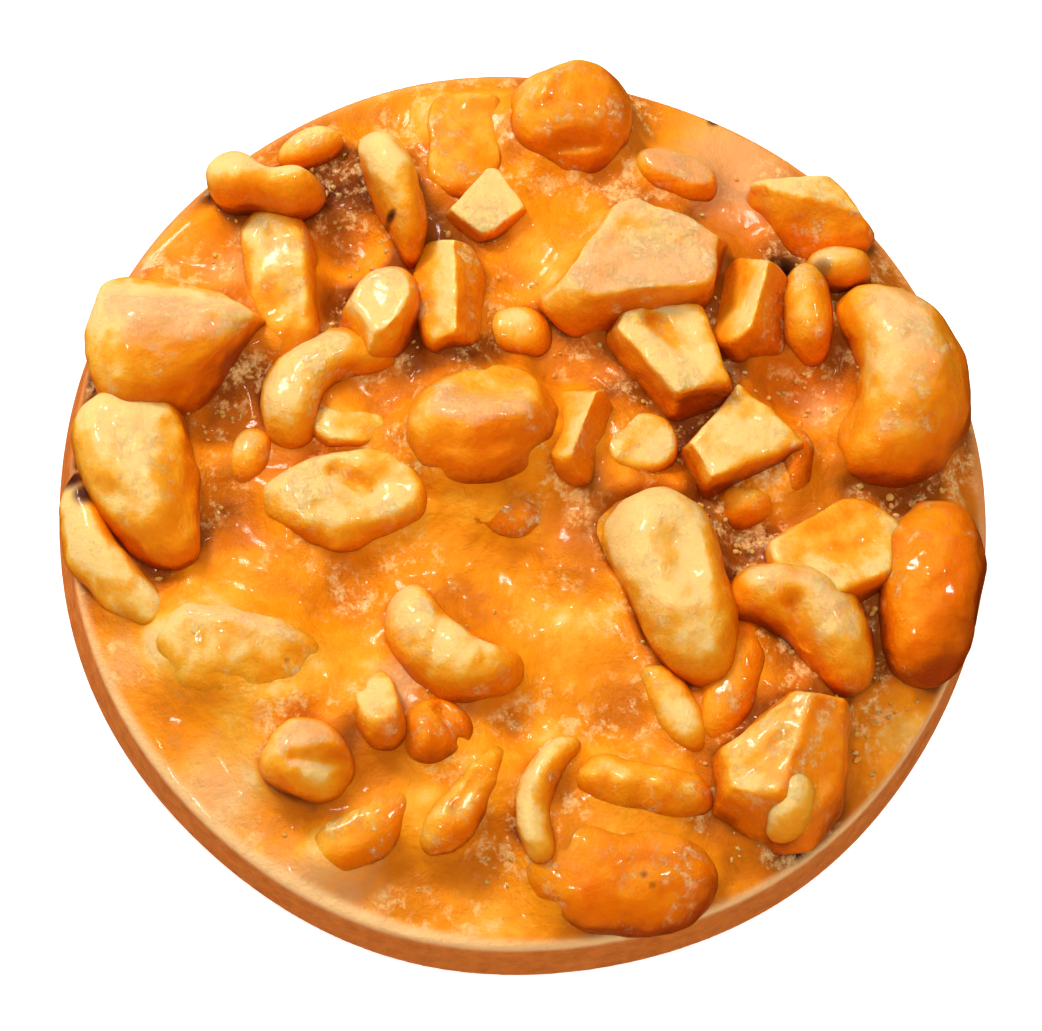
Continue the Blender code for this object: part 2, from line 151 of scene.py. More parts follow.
NUTS = {
    "whole_right": ((33.2, 10.9, 17.2), 90, (22.6, 11.2, 14.4), (), -205, 0.04),
    "half_centre": ((13.9, -10.3, 17.6), 112, (20.6, 10.6, 13.4), ((20, 84, 5.8),), 20, -0.24),
    "slab_upper": ((10.8, 21.9, 18.6), 20, (21.0, 13.4, 12.5),
        ((75, 80, 3.6), (145, 12, 5.6), (65, 14, 6.0), (-13, 10, 7.4), (-80, 22, 5.2)), 14),
    "chunk_lower": ((23.4, -27.0, 17.8), 46, (18.0, 16.4, 13.5),
        ((150, 62, 4.7), (-10, 60, 4.9), (133, 14, 4.7), (80, 14, 6.9), (-5, 10, 5.7),
         (-35, 20, 6.3), (245, 20, 6.4), (180, 16, 6.2))),
    "dome_middle": ((-4.8, 5.4, 18.0), 14, (15.5, 12.5, 15.0),
        ((85, 55, 6.0),), 0, -0.05, 0, 0, 4),
    "cone_left": ((-33.3, 14.0, 17.5), 3, (18.0, 14.2, 13.4),
        ((88, 38, 4.6), (-42, 14, 5.4)), 0, 0.5, 0, 0, 6),
    "half_left": ((-36.3, 0.4, 15.6), 112, (19.2, 10.8, 11.0),
        ((60, 80, 4.5),), 14, -0.26, 0, 0, -3),
    "dome_top": ((4.5, 38.1, 15.0), 20, (12.2, 11.8, 11.0), ()),
    "dome_bottom": ((8.1, -37.2, 11.9), -6, (18.4, 12.4, 8.8), (), 12, -0.08),
    "nut_right": ((37.8, -9.8, 15.5), 80, (18.8, 10.6, 12.0), (), -20, -0.1),
    "curl_tail": ((24.8, -14.4, 16.2), -35, (17.6, 7.8, 11.6), (), 158),
    "half_flat": ((-17.3, -1.1, 14.0), 2, (16.4, 9.8, 8.6), ((90, 84, 3.1),), -10, 0.04),
    "bow_front": ((-25.2, 29.8, 17.5), -12, (11.6, 6.0, 10.0), (), -64, 0.06, 0.34),
    "upright_ridge": ((-7.7, 18.5, 18.2), 96, (12.4, 7.2, 12.0),
        ((172, 50, 2.4), (6, 38, 2.5), (90, 10, 5.8), (-90, 10, 5.6))),
    "knob_middle": ((-14.0, 16.8, 16.4), 62, (10.6, 7.4, 12.4),
        ((140, 68, 4.6), (200, 20, 3.9)), 12, 0.06, 0.05),
    "slender_upper": ((-12.9, 28.2, 17.6), -72, (14.0, 4.6, 11.0), (), 34, 0.30, 0, 0, -14),
    "roof_right": ((21.4, 17.9, 17.0), 98, (11.0, 9.0, 11.5),
        ((160, 44, 2.6), (-12, 40, 3.0), (-70, 26, 4.4), (75, 12, 5.0))),
    "lobed_chip": ((13.3, 12.9, 17.6), -38, (14.5, 12.0, 9.5),
        ((70, 76, 2.2), (217, 10, 3.3), (97, 10, 4.4), (19, 10, 4.5), (-70, 12, 5.6),
         (150, 10, 5.9))),
    "triangle_chip": ((20.2, 4.4, 17.0), 52, (15.0, 14.0, 9.5),
        ((95, 83, 2.0), (45, 8, 3.7), (-67, 10, 3.3), (141, 8, 3.8), (205, 8, 5.3))),
    "roof_middle": ((4.7, 4.7, 17.6), 86, (10.4, 7.0, 12.0),
        ((150, 46, 3.0), (-15, 35, 2.4), (95, 20, 4.6))),
    "crescent_upper": ((-18.9, 9.6, 14.4), 44, (17.0, 6.4, 8.8), (), 165, 0.06),
    "crescent_edge": ((-38.8, -6.6, 12.0), -56, (20.5, 5.6, 8.0), (), -86, -0.08),
    # chunk_corner's first face is a narrow strip along its back top edge, left paler as a break so
    # that it stands as a painted highlight
    "chunk_corner": ((27.8, 28.2, 15.4), -28, (13.4, 10.8, 10.5),
        ((80, 70, 3.9), (252, 48, 2.8), (92, 12, 3.9), (38, 12, 3.8), (-85, 14, 4.4),
         (212, 12, 3.8))),
    "chunk_side": ((29.1, -6.8, 15.9), 12, (14.0, 11.5, 9.5),
        ((85, 72, 1.9), (-12, 12, 5.6), (120, 12, 4.6), (-60, 16, 4.6))),
    "boomerang": ((-7.0, -15.2, 14.8), 143, (16.6, 7.0, 9.8), (), 150, -0.06, -0.06),
    "kernel_lower_left": ((-26.6, -17.0, 14.0), -14, (18.0, 10.0, 9.4), (), 20, 0.12, 0, 16),
    "bow_body": ((-23.4, 19.8, 14.0), 97, (18.6, 7.8, 8.5), (), 12, 0, 0, 0, 1),
    "nut_sunk": ((7.8, -4.9, 12.1), 30, (17.0, 12.8, 8.0), (), 0, 0.05),
    "curl_limb": ((18.5, -19.0, 13.5), 74, (14.5, 6.6, 8.0), (), -16),
    "knob_lower": ((23.6, -31.4, 16.7), 74, (7.0, 5.0, 9.6), ()),
    "cap_nut": ((-21.0, -27.4, 15.4), -30, (8.8, 7.8, 9.5), ((-60, 42, 3.0),), 0, 0.1),
    "tooth": ((-14.5, -22.2, 15.0), 98, (8.4, 5.2, 8.6), ((110, 60, 2.7),), 0, 0.1),
    "hook": ((1.4, -30.4, 13.5), 76, (13.8, 3.9, 6.5), (), 105),
    "strip": ((-6.5, -30.6, 13.0), 56, (12.8, 5.8, 6.5), (), -14, 0, 0.12),
    "lumpy_bar": ((10.2, -29.4, 12.8), -8, (14.0, 6.4, 6.5), (), 0, 0, 0.16),
    "round_chip": ((-9.3, -24.4, 13.0), 0, (7.6, 6.8, 6.5), ()),
    "chip_upper": ((-3.9, 28.4, 14.2), 34, (8.2, 7.2, 6.5),
        ((100, 84, 1.4), (140, 8, 2.6), (30, 8, 3.1), (-50, 8, 2.9), (230, 8, 3.1))),
    "slab_rim": ((-6.0, 35.2, 12.9), 86, (13.0, 9.5, 8.0),
        ((95, 80, 1.9), (180, 8, 3.6), (0, 8, 3.9), (90, 10, 5.6))),
    "sliver": ((13.2, -21.8, 12.6), -58, (11.2, 5.0, 6.0), (), 8, 0.1),
    "chip_pale": ((10.6, 4.2, 14.2), 20, (7.0, 6.4, 6.5), ((90, 80, 1.5),)),
    "prop_right": ((27.3, 17.8, 14.5), 96, (10.2, 5.0, 8.0), (), 14, 0, 0, 0, 6),
    "lobe_right": ((30.2, 22.6, 14.0), 8, (6.4, 4.6, 6.5), ()),
    "chips_rim": ((14.4, 32.6, 12.0), -22, (9.0, 4.8, 5.5), ((60, 66, 1.9),), 0, 0, 0.1),
    "nub_rim": ((-20.8, 34.6, 12.0), 24, (6.6, 4.4, 5.5), ()),
    "crescent_sunk": ((-15.6, -32.4, 11.0), 46, (13.4, 7.4, 6.2), (), -40),
    "jagged_chip": ((-17.2, 5.6, 13.8), -4, (7.8, 4.8, 6.5),
        ((85, 76, 1.5), (80, 10, 2.0)), 0, 0, 0.1),
    "lump_centre": ((-3.2, -2.4, 12.6), -8, (10.0, 6.4, 5.5), ()),
    "lump_left": ((-23.8, -8.8, 11.1), -20, (10.0, 6.0, 5.0), ()),
    "lump_small": ((-26.6, 3.0, 11.4), 70, (6.2, 4.4, 5.0), ()),
    "chip_middle": ((-1.0, 15.8, 12.6), -12, (7.6, 5.0, 5.5), ()),
    "leaf": ((25.4, 2.2, 13.5), 84, (8.2, 3.6, 7.0), ()),
    "chip_side": ((21.2, -1.6, 12.4), 10, (6.4, 4.8, 5.5), ()),
}
print("nuts listed:", len(NUTS))

# %% [markdown]
# How much caramel stayed on each nut, from 0 for a clean pale break to 1 for a
# nut that is coated all over. It decides how far the pale flesh shows.

# %% How much caramel each nut carries
COATING = {
    "whole_right": 0.8, "half_centre": 0.18, "slab_upper": 0.4, "chunk_lower": 0.8,
    "dome_middle": 0.8, "cone_left": 0.65, "half_left": 0.46, "dome_top": 1.0,
    "dome_bottom": 1.3, "nut_right": 1.6, "curl_tail": 0.7, "half_flat": 0.24,
    "bow_front": 0.65, "upright_ridge": 0.5, "knob_middle": 0.2, "slender_upper": 0.55,
    "roof_right": 0.75, "lobed_chip": 0.22, "triangle_chip": 0.5, "roof_middle": 0.6,
    "crescent_upper": 0.2, "crescent_edge": 0.3, "chunk_corner": 0.7, "chunk_side": 0.6,
    "boomerang": 0.25, "kernel_lower_left": 0.38, "bow_body": 0.5, "nut_sunk": 1.1,
    "curl_limb": 1.1, "knob_lower": 0.2, "cap_nut": 0.8, "tooth": 0.6, "hook": 0.25,
    "strip": 0.75, "lumpy_bar": 0.6, "round_chip": 1.2, "chip_upper": 0.15,
    "slab_rim": 1.0, "sliver": 0.7, "chip_pale": 0.4, "prop_right": 0.8,
    "lobe_right": 0.5, "chips_rim": 1.1, "nub_rim": 0.6, "crescent_sunk": 1.1,
    "jagged_chip": 0.4, "lump_centre": 1.0, "lump_left": 1.1, "lump_small": 0.8,
    "chip_middle": 0.7, "leaf": 1.3, "chip_side": 0.9,
}
# how high the caramel creeps up some of the nuts, in millimetres
CREEP = {"kernel_lower_left": 3.2, "nut_sunk": 3.6, "crescent_sunk": 2.3, "lump_left": 1.9,
         "lump_centre": 1.6, "lump_small": 1.2, "chip_middle": 1.2, "dome_middle": 4.0,
         "slab_upper": 2.6, "bow_body": 3.2, "curl_limb": 2.6, "cone_left": 2.6,
         "round_chip": 2.2, "slab_rim": 2.4, "chips_rim": 2.0, "nut_right": 3.0,
         "dome_top": 3.0, "whole_right": 2.8, "half_left": 2.0, "roof_middle": 2.6,
         "dome_bottom": 2.4}
print("coated nearly all over:", sum(share > 0.99 for share in COATING.values()))

# %% [markdown]
# A cashew is a bent, tapering kernel, so each one begins as a sphere with its
# poles at the two ends. Moving its vertices by a rule keeps the faces in neat
# rings: length, width and height first, then the bend. Broken faces are cut
# afterwards, straight through, as a nut really snaps.

# %% Shape one nut
def shape_nut(number, size, bend, taper, waist):
    """A sphere drawn out along X into a bent kernel, in millimetres."""
    length, width, height = size
    draw = random.Random(101 + 7 * number)
    waves = [(Vector([draw.uniform(-2.6, 2.6) for _ in range(3)]), draw.uniform(0, math.tau))
             for _ in range(4)]
    bm = bmesh.new()
    bmesh.ops.create_uvsphere(bm, u_segments=56, v_segments=48, radius=1.0,
                              matrix=Matrix.Rotation(math.radians(90), 4, "Y"))
    for vert in bm.verts:
        along, across, up = vert.co
        along = max(-1.0, min(1.0, along))
        ring = math.hypot(across, up)
        if ring > 1e-6:
            around = math.atan2(up, across)
            full = (1.0 - abs(along) ** END_BLUNTNESS) ** (1.0 / END_BLUNTNESS)
            square = (abs(math.cos(around)) ** SECTION_BLUNTNESS
                      + abs(math.sin(around)) ** SECTION_BLUNTNESS) ** (-1.0 / SECTION_BLUNTNESS)
            across = full * square * math.cos(around)
            up = full * square * math.sin(around)
        uneven = 1.0 + UNEVENNESS * sum(math.sin(way.dot(vert.co) + start) for way, start in waves)
        narrow = (1.0 - taper * along) * (1.0 - waist * math.exp(-(along / 0.38) ** 2)) * uneven
        x = along * length / 2.0
        y = across * width / 2.0 * narrow
        z = up * height / 2.0 * (0.5 + 0.5 * narrow)
        if bend:
            radius = length / math.radians(bend)
            swing = x / radius
            x, y = (radius + y) * math.sin(swing), (radius + y) * math.cos(swing) - radius
            y += radius * (1.0 - math.cos(math.radians(bend) / 2.0)) / 2.0
        vert.co = (x, y, z)
    return bm


def cut_facing(heading, rise):
    """The way a cut faces, from its heading and its rise in degrees."""
    h, r = math.radians(heading), math.radians(rise)
    return Vector((math.cos(h) * math.cos(r), math.sin(h) * math.cos(r), math.sin(r)))


def slice_face(bm, heading, rise, distance):
    """Cut away what lies past a plane and close the broken face."""
    facing = cut_facing(heading, rise)
    cut = bmesh.ops.bisect_plane(bm, geom=bm.verts[:] + bm.edges[:] + bm.faces[:], dist=0.001,
                                 plane_co=facing * distance, plane_no=facing, clear_outer=True)
    rim = [part for part in cut["geom_cut"] if isinstance(part, bmesh.types.BMEdge)]
    bmesh.ops.holes_fill(bm, edges=rim, sides=0)


def nut_form(number, place, turn, size, faces, bend=0, taper=0, waist=0, roll=0, pitch=0):
    """One kernel, shaped, turned, broken and set at its place, in metres."""
    x, y, top = place
    bm = shape_nut(number, size, bend, taper, waist)
    turned = (Matrix.Rotation(math.radians(turn), 3, "Z")
              @ Matrix.Rotation(math.radians(-pitch), 3, "Y")
              @ Matrix.Rotation(math.radians(roll), 3, "X"))
    bmesh.ops.rotate(bm, cent=(0, 0, 0), matrix=turned, verts=bm.verts[:])
    for face in faces:
        slice_face(bm, *face)
    bmesh.ops.translate(bm, vec=(x, y, top - size[2] / 2.0), verts=bm.verts[:])
    bmesh.ops.scale(bm, vec=(MM, MM, MM), verts=bm.verts[:])
    bmesh.ops.triangulate(bm, faces=bm.faces[:])
    bmesh.ops.recalc_face_normals(bm, faces=bm.faces[:])
    return bm


# %% [markdown]
# A cut leaves one wide flat face with nothing inside it to bend. A voxel remesh
# lays an even net of small faces over the whole nut instead, so that the
# softening, the lumps and the creases that follow have points to move.

# %% Even net of faces
def even_net(bm, pitch):
    """The same closed form, covered with equal small faces."""
    rough = bpy.data.meshes.new("rough form")
    bm.to_mesh(rough)
    bm.free()
    holder = placed("rough form", rough)
    net = holder.modifiers.new("even net", "REMESH")
    net.mode = "VOXEL"
    net.voxel_size = pitch
    bpy.context.view_layer.update()
    seen = holder.evaluated_get(bpy.context.evaluated_depsgraph_get())
    fine = bmesh.new()
    fine.from_mesh(seen.to_mesh())
    seen.to_mesh_clear()
    bpy.data.objects.remove(holder)
    bpy.data.meshes.remove(rough)
    return fine


def soften(bm, times):
    """Round every edge off a little, more with each pass."""
    for _ in range(times):
        bmesh.ops.smooth_vert(bm, verts=bm.verts[:], factor=0.5,
                              use_axis_x=True, use_axis_y=True, use_axis_z=True)


# %% [markdown]
# No kernel is smooth: each has shallow lumps a few millimetres across and finer
# ones on top. Strokes add the marks that a rule can't guess, such as the groove
# along a split or a ridge that catches the light. A stroke runs between two
# places on the patty and lowers or lifts what lies near it.

# %% Lumps and strokes
# name: strokes of (x1, y1, x2, y2, half width, lift), in millimetres
STROKES = {
    "round_chip": ((-8.8, -22.4, -7.0, -25.2, 0.7, -0.8), (-10.6, -24.0, -10.2, -26.0, 0.9, 0.4)),
    "half_flat": ((-18.6, 0.8, -15.4, -1.0, 1.0, -1.1), (-20.0, -3.0, -19.0, -6.0, 0.9, -0.6)),
    "half_centre": ((13.6, -6.0, 15.0, -11.5, 1.5, -0.5),),
    "half_left": ((-33.6, 4.5, -32.6, -4.0, 1.4, -0.7), (-38.0, 5.0, -35.0, -5.0, 1.2, 0.4)),
    "dome_top": ((2.9, 34.2, 6.6, 34.6, 0.7, -1.0), (1.0, 38.5, 2.4, 41.0, 0.9, 0.5)),
    "lobed_chip": ((11.8, 15.8, 14.8, 12.6, 1.0, -1.2), (8.6, 17.4, 10.4, 15.8, 0.9, 0.4)),
    "curl_tail": ((24.4, -12.6, 26.4, -18.4, 1.0, -1.6),),
    "boomerang": ((-8.0, -12.0, -10.0, -18.5, 1.0, -0.5),),
    "slab_upper": ((6.0, 20.5, 13.0, 17.8, 1.3, 0.5), (9.5, 24.5, 14.5, 22.5, 1.6, -0.5)),
    "cone_left": ((-40.0, 17.4, -27.0, 14.9, 0.8, 0.8),),
    "lumpy_bar": ((4.4, -28.6, 5.6, -28.8, 0.9, 0.5), (8.2, -29.3, 8.8, -29.6, 0.9, 0.5),
                  (11.6, -29.5, 12.2, -30.2, 0.9, 0.5), (14.6, -30.4, 15.0, -31.0, 0.8, 0.4)),
    "bow_body": ((-21.6, 27.0, -21.0, 15.0, 1.0, 0.7), (-25.0, 24.0, -24.4, 17.0, 1.3, -0.6)),
    "whole_right": ((38.5, 16.0, 40.0, 5.0, 1.6, 0.4),),
    "kernel_lower_left": ((-32.5, -13.4, -20.5, -16.4, 1.2, 0.8),),
    "chunk_lower": ((19.5, -29.5, 23.0, -26.0, 1.0, -0.5),),
    "dome_middle": ((-8.5, 2.5, -1.5, 3.0, 1.4, -0.4),),
    "cap_nut": ((-22.4, -28.0, -17.8, -27.6, 0.7, -0.6), (-21.0, -29.4, -18.8, -30.0, 1.1, 0.9)),
    "strip": ((-7.4, -32.0, -5.6, -29.0, 0.8, -0.5),),
    "chunk_side": ((26.0, -7.6, 32.0, -6.4, 1.3, -0.5),),
}

# skin bits, bruises and burnt specks, and on the pour two near-black spots filling the hole at
# (25.2, 22.6): (x, y, radius, depth of colour), in millimetres
DARK_MARKS = {
    "crescent_edge": ((-43.3, 0.6, 1.3, 1.0), (-42.2, -1.2, 1.2, 1.0)),
    "lobe_right": ((28.2, 21.8, 1.1, 0.7),),
    "slender_upper": ((-13.4, 25.7, 0.5, 1.0),),
    "dome_bottom": ((10.0, -38.0, 0.35, 0.6), (10.8, -39.0, 0.30, 0.5)),
    "kernel_lower_left": ((-23.2, -18.2, 0.25, 0.5),),
    "caramel_disc": ((25.2, 22.6, 1.6, 1.0), (24.2, 23.4, 0.6, 0.9), (18.8, 39.4, 0.6, 0.9),
                     (-17.4, 14.9, 0.5, 0.6), (21.0, -6.2, 0.6, 0.5)),
}


def lumps(bm, number, depth, across):
    """Push the surface in and out by smooth noise."""
    bm.normal_update()
    shift = Vector((3.7 * number, -1.9 * number, 5.3 * number))
    moves = []
    for vert in bm.verts:
        at = vert.co / (across * MM) + shift
        push = noise.noise(at) + 0.28 * noise.noise(at * 2.7 + shift)
        moves.append(vert.normal * (push * depth * MM))
    for vert, move in zip(bm.verts, moves):
        vert.co += move


# places where the pour is thicker and darker or, below zero, thinner: (x, y, spread, share).
# The two at (-9.7, 13.0) and (-5.0, 12.6) are a painted shadow below the upright ridge
# and the middle knob; the thinner one at (34.5, -21.4) is painted light on the right
# front, which lies in shade.
TINTS_AND_PAINTED_LIGHT = ((-28.6, -3.6, 2.4, 0.7), (34.5, -21.4, 4.0, -0.45), (7.2, -21.6, 3.0, 0.2),
         (-34.9, -23.4, 3.6, 0.22), (-18.0, 25.4, 2.2, 0.3), (-10.0, 27.0, 2.4, -0.3),
         (20.0, 29.0, 4.0, 0.3), (-12.0, 6.0, 2.6, 0.3), (-29.0, 9.0, 3.0, 0.45),
         (5.8, -5.2, 3.0, 0.75), (5.8, 0.2, 1.1, 0.6), (11.4, 1.6, 1.1, 0.6),
         (16.6, -0.2, 1.1, 0.6), (26.0, 13.0, 3.0, 0.25), (26.0, -2.0, 3.0, 0.3),
         (-6.5, 12.0, 2.6, 0.4), (9.0, 10.0, 3.0, 0.25), (-21.0, -29.0, 2.6, 0.3),
         (-15.0, -26.0, 2.6, 0.25), (20.5, -24.0, 2.4, 0.3), (-22.0, 31.0, 2.6, 0.25),
         (-31.0, 22.0, 3.0, 0.1), (1.0, -35.0, 2.2, 0.25), (-30.0, -30.0, 5.0, -0.3),
         (-23.0, -38.6, 2.6, -0.4), (-38.5, -17.0, 3.0, -0.3), (-9.7, 13.0, 1.5, 0.9),
         (-5.0, 12.6, 1.5, 0.9), (30.6, 2.0, 2.0, 0.3), (19.2, 14.6, 1.6, 0.5))

# where a nut stands clear of its caramel and shows pale: (x, y, spread, share)
BARE = {
    "cap_nut": ((-20.0, -29.4, 1.5, 0.7),), "sliver": ((14.6, -24.2, 1.8, 0.35),),
    "tooth": ((-15.3, -20.6, 1.2, 0.3),), "slender_upper": ((-14.6, 32.0, 2.4, 0.25),),
    "half_centre": ((12.4, -6.0, 3.6, 0.1), (15.6, -16.0, 2.0, 0.1)),
    "half_left": ((-38.0, 4.6, 2.6, 0.12),), "knob_lower": ((23.6, -31.4, 2.0, 0.2),),
    "chunk_lower": ((20.0, -26.0, 2.2, 0.1),), "whole_right": ((34.6, 13.6, 3.2, 0.2),),
    "cone_left": ((-38.4, 17.8, 2.0, 0.5), (-33.6, 16.8, 2.0, 0.5), (-28.6, 15.4, 1.6, 0.5)),
    "boomerang": ((-6.2, -11.8, 1.8, 0.15),), "crescent_upper": ((-19.0, 14.4, 2.2, 0.1),),
    "crescent_edge": ((-40.6, -6.8, 2.6, 0.12), (-35.4, -12.0, 2.0, 0.2)),
    "bow_front": ((-27.6, 31.6, 1.8, 0.25), (-22.0, 30.6, 1.4, 0.3)),
    "curl_tail": ((30.4, -15.6, 2.2, 0.3), (27.0, -11.8, 1.6, 0.15)),
    "slab_upper": ((9.0, 25.0, 3.6, 0.12),), "dome_middle": ((-4.4, 10.0, 3.0, 0.16),),
    "kernel_lower_left": ((-25.4, -15.0, 1.8, 0.3), (-30.0, -13.6, 1.6, 0.2)),
    "chunk_corner": ((24.6, 30.6, 1.6, 0.35),), "hook": ((0.2, -34.0, 1.8, 0.3),),
    "chip_middle": ((-1.0, 15.4, 1.6, 0.2),), "nub_rim": ((-19.8, 35.4, 1.4, 0.2),),
}

# cloudy films of set butter on the pour, and at (20.5, 34.0) on the back rim a painted reflection
# of the back light: (x, y, spread, share)
FILMS_AND_SHEEN = ((20.5, 34.0, 5.0, 1.0), (-30.0, -30.0, 5.0, 0.75), (-38.5, -17.0, 3.0, 0.6),
         (-17.0, -39.0, 4.0, 0.6), (-23.0, -38.6, 2.4, 0.6), (28.0, 9.0, 2.2, 0.7),
         (-28.0, 22.0, 2.0, 0.6), (-12.0, -18.5, 2.0, 0.6), (-14.0, -20.5, 1.8, 0.6),
         (-34.0, 22.0, 3.0, 0.4), (26.0, 23.5, 2.0, 0.5))


def ease(low, high, value):
    """From 0 at low to 1 at high, with soft ends."""
    share = np.clip((value - low) / (high - low), 0.0, 1.0)
    return share * share * (3.0 - 2.0 * share)


def pooled(places, pools):
    """Sum of soft round patches at each point of a piece or a map."""
    share = np.zeros(places.shape[:-1])
    for x, y, spread, amount in pools:
        away = np.hypot(places[..., 0] - x, places[..., 1] - y) / spread
        share += amount * np.exp(-0.5 * away ** 2)
    return share


def dark_mark_share(places, spots):
    """How dark each point of a piece is, from the spots near it."""
    share = np.zeros(len(places))
    for x, y, radius, depth in spots:
        away = np.hypot(places[:, 0] - x, places[:, 1] - y) / radius
        share = np.maximum(share, depth * np.exp(-away ** 4))
    return share


def mark(bm, strokes):
    """Press grooves and raise ridges on the upper side."""
    for x1, y1, x2, y2, half_width, lift in strokes:
        bm.normal_update()
        start = Vector((x1, y1)) * MM
        run = Vector((x2, y2)) * MM - start
        for vert in bm.verts:
            if vert.normal.z < 0.05:
                continue
            off = Vector((vert.co.x, vert.co.y)) - start
            share = max(0.0, min(1.0, off.dot(run) / max(run.length_squared, 1e-12)))
            away = (off - run * share).length / (half_width * MM)
            if away < 2.5:
                vert.co.z += lift * MM * math.exp(-away * away) * min(1.0, vert.normal.z * 2.0)


# %% Make the nuts' forms
LARGE_NUT = 12.0      # the length in millimetres past which a nut counts as large
BROAD_LUMPS = 4.6     # how far apart the lumps lie, in millimetres
FINE_LUMPS = 1.8
FINE_SHIFT = 60       # keeps the fine lumps of one nut apart from another's broad ones


def vertex_places(bm):
    """Every vertex's place, as rows in millimetres."""
    return np.array([vert.co for vert in bm.verts]) / MM


def broken_share(bm, row):
    """1 on a nut's fresh break, the first of its faces, and 0 on the rest."""
    x, y, top = row[0]
    places = vertex_places(bm) - np.array((x, y, top - row[2][2] / 2.0))
    if not row[3]:
        return np.zeros(len(places))
    heading, rise, distance = row[3][0]
    past = places @ np.array(cut_facing(heading, rise)) - distance
    return np.clip(1.0 + (past + 0.12) / 0.35, 0.0, 1.0)


nut_forms = {}
broken_shares = {}
for number, (name, row) in enumerate(NUTS.items()):
    pitch, depth = (0.30, 0.50) if row[2][0] > LARGE_NUT else (0.24, 0.34)
    form = even_net(nut_form(number, *row), pitch * MM)
    broken_shares[name] = broken_share(form, row)
    soften(form, 9 if len(row[3]) == 1 else 5)
    lumps(form, number, depth, BROAD_LUMPS)
    lumps(form, number + FINE_SHIFT, 0.10, FINE_LUMPS)
    mark(form, STROKES.get(name, ()))
    soften(form, 1)
    nut_forms[name] = form
print("faces on the nuts:", sum(len(form.faces) for form in nut_forms.values()))

# %% [markdown]
# Warm caramel is poured over the nuts and creeps up whatever it wets. To find
# where it stands, the nuts are first read from above as a map of heights. A
# ball rolled over that map can't reach into the creases, and what it leaves
# free is where caramel gathers: in a fillet round every nut and in the narrow
# gaps between neighbours. That is a closing, a widening followed by a narrowing.

# %% Map the nuts from above
CELL = 0.3            # the side of one square of the map, in millimetres
CELLS = 308
HALF_MAP = CELL * (CELLS - 1) / 2.0
READ_RADIUS = 47.0    # the map is read out to here
READ_FROM = 0.05      # and from this high above the floor, in metres
NO_NUT = -1.0         # the height that stands for no nut

# hollows and swells of the pour: (x, y, spread, lift) in millimetres
SWELLS = (
    (-18.0, 25.6, 2.8, -1.3), (-28.5, 5.8, 3.0, -1.2), (21.1, -6.5, 2.6, -1.6),
    (33.3, -16.7, 3.0, -0.4), (20.6, 30.5, 2.6, -1.0), (26.5, 10.9, 3.0, -1.0),
    (-17.0, -12.0, 3.4, -0.7), (3.1, -16.7, 5.5, 0.9), (-12.0, -41.0, 3.5, -0.4),
    (2.0, 23.0, 4.0, 0.6), (-5.4, 2.6, 5.4, 1.5), (-31.5, -21.0, 4.0, 0.8),
    (-31.0, 26.0, 3.5, 0.6), (-4.0, -38.0, 3.0, -0.5), (-15.6, -32.2, 3.2, 0.7),
    (7.6, -36.4, 4.2, 1.0),
)

# holes that the nuts hold open: (x, y, radius, depth) in millimetres
CAVITIES = ((25.2, 22.6, 1.3, 2.6), (24.3, 23.5, 0.6, 1.2))


def caramel_height(x, y):
    """Height of the poured caramel before the nuts lift it, in millimetres."""
    inward = 1.0 - ease(27.0, 42.0, np.hypot(x, y))
    waves = (np.sin(0.31 * x + 0.4) * np.cos(0.27 * y - 0.9)
             + 0.6 * np.sin(0.19 * x - 0.36 * y + 2.1)
             + 0.4 * np.cos(0.48 * x + 0.22 * y))
    swell = pooled(np.dstack((x, y)), SWELLS)
    return LIP_HEIGHT + inward * (CROWN_RISE + 0.55 * waves) + swell


def pour_grain(x, y):
    """Uneven skin of the pour: broad lumps with finer ones on them, in millimetres."""
    at = Vector((x, y, 3.1))
    return (0.55 * noise.noise(at / 4.6) + 0.22 * noise.noise(at / 2.1)
            + 0.07 * noise.noise(at / 0.95))


def outline_swell(angle):
    """The hand-pressed outline wanders a little from a true circle."""
    return 0.22 * np.sin(3.0 * angle + 0.8) + 0.14 * np.sin(7.0 * angle + 2.0)


steps = np.arange(CELLS) * CELL - HALF_MAP
map_x, map_y = np.meshgrid(steps, steps)
calm_rim = 1.0 - 0.7 * np.clip((np.hypot(map_x, map_y) - 33.0) / 8.0, 0.0, 1.0)
skin_grain = np.array([[pour_grain(x, y) for x in steps] for y in steps])
bed = caramel_height(map_x, map_y) + calm_rim * skin_grain

crowd = bmesh.new()
last_faces = []
for form in nut_forms.values():
    part = bpy.data.meshes.new("one nut")
    form.to_mesh(part)
    crowd.from_mesh(part)
    bpy.data.meshes.remove(part)
    last_faces.append(len(crowd.faces))
crowd_tree = BVHTree.FromBMesh(crowd)
crowd.free()

tops = np.full((CELLS, CELLS), NO_NUT)
reach = np.full((CELLS, CELLS), 1.4)
reach_list = [CREEP.get(name, 1.1 + 1.4 * COATING[name]) for name in nut_forms]
down = Vector((0, 0, -1))
for row, y in enumerate(steps):
    for column, x in enumerate(steps):
        if x * x + y * y < READ_RADIUS ** 2:
            start = Vector((x * MM, y * MM, READ_FROM))
            place, _, face, _ = crowd_tree.ray_cast(start, down)
            if place is not None:
                tops[row, column] = place.z / MM
                reach[row, column] = reach_list[bisect.bisect_right(last_faces, face)]
print("share of the map under a nut:", round(float((tops > bed).mean()), 2))

# %% Roll the ball
BALL_RADIUS = 3.4     # in millimetres
WIDE_BALL_RADIUS = 7.5

# where the caramel runs up a nut in one soft slope: (x, y, spread, share)
SLOPES = ((-6.5, -0.5, 3.0, 0.35), (-27.5, -22.0, 3.4, 0.85), (-19.0, -19.5, 2.8, 0.7),
          (-33.5, -12.5, 2.4, 0.5))


def shifted(field, rows, columns):
    """The map moved by whole cells; its margin is empty, so it may wrap round."""
    return np.roll(field, (rows, columns), (0, 1))


